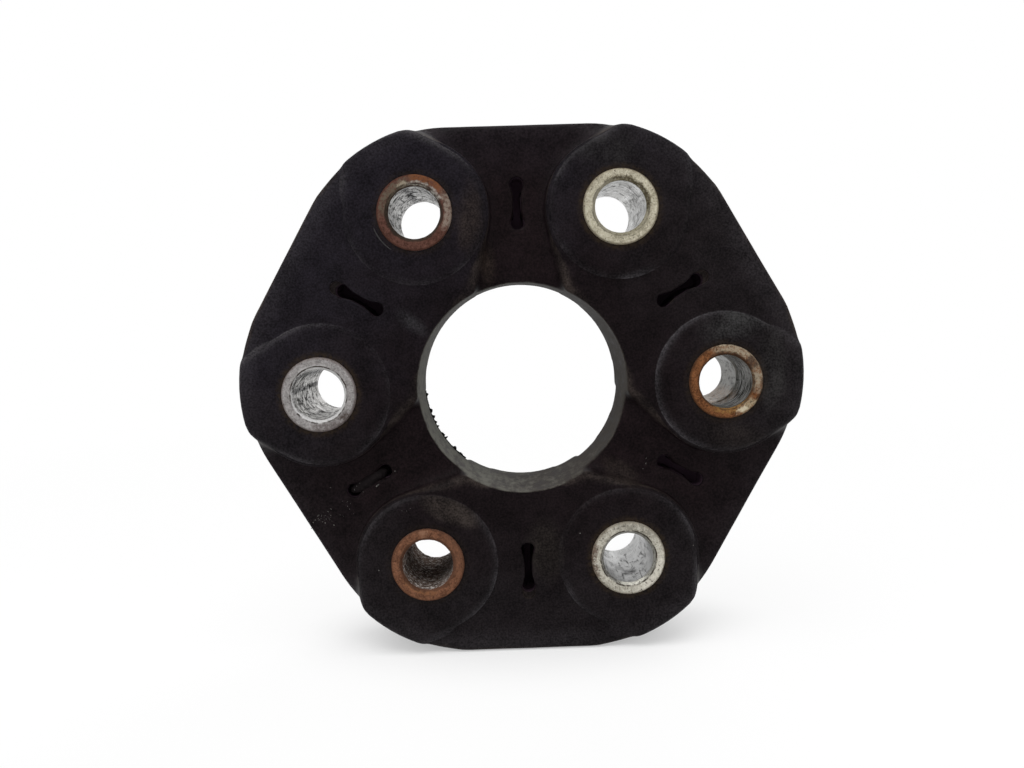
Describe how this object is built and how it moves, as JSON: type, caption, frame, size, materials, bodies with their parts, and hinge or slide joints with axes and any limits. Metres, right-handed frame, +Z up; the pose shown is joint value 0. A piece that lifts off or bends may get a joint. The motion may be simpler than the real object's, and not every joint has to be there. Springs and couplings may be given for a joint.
{
  "type": "driveshaft flex disc",
  "caption": "Rounded hexagonal rubber coupling disc with bonded steel bolt sleeves, hidden cord loops and a large central hole; couples two shaft flanges flexibly.",
  "frame": {"origin": "centre of the disc, on its axis and in its middle plane", "axes": "+Y along the disc's axis from the front face to the rear one, +X to the right and +Z up as the disc stands on its lower flat"},
  "size_m": [0.1468, 0.033, 0.138],
  "materials": {
    "rubber": "matt moulded rubber, dusty",
    "rusted_sleeve": "turned steel, rusted on the end faces",
    "zinc_sleeve": "zinc-plated turned steel, worn",
    "collar": "pressed steel",
    "cord": "wound polyester cord"
  },
  "bodies": {
    "root": {"rubber_body": "rubber", "sleeve_1": "rusted_sleeve", "sleeve_2": "zinc_sleeve", "sleeve_3": "rusted_sleeve", "sleeve_4": "zinc_sleeve", "sleeve_5": "rusted_sleeve", "sleeve_6": "zinc_sleeve", "collar_front_1": "collar", "collar_front_2": "collar", "collar_front_3": "collar", "collar_front_4": "collar", "collar_front_5": "collar", "collar_front_6": "collar", "collar_rear_1": "collar", "collar_rear_2": "collar", "collar_rear_3": "collar", "collar_rear_4": "collar", "collar_rear_5": "collar", "collar_rear_6": "collar", "cord_centre_1": "cord", "cord_centre_2": "cord", "cord_centre_3": "cord", "cord_front_1": "cord", "cord_front_2": "cord", "cord_front_3": "cord", "cord_rear_1": "cord", "cord_rear_2": "cord", "cord_rear_3": "cord"}
  },
  "joints": []
}
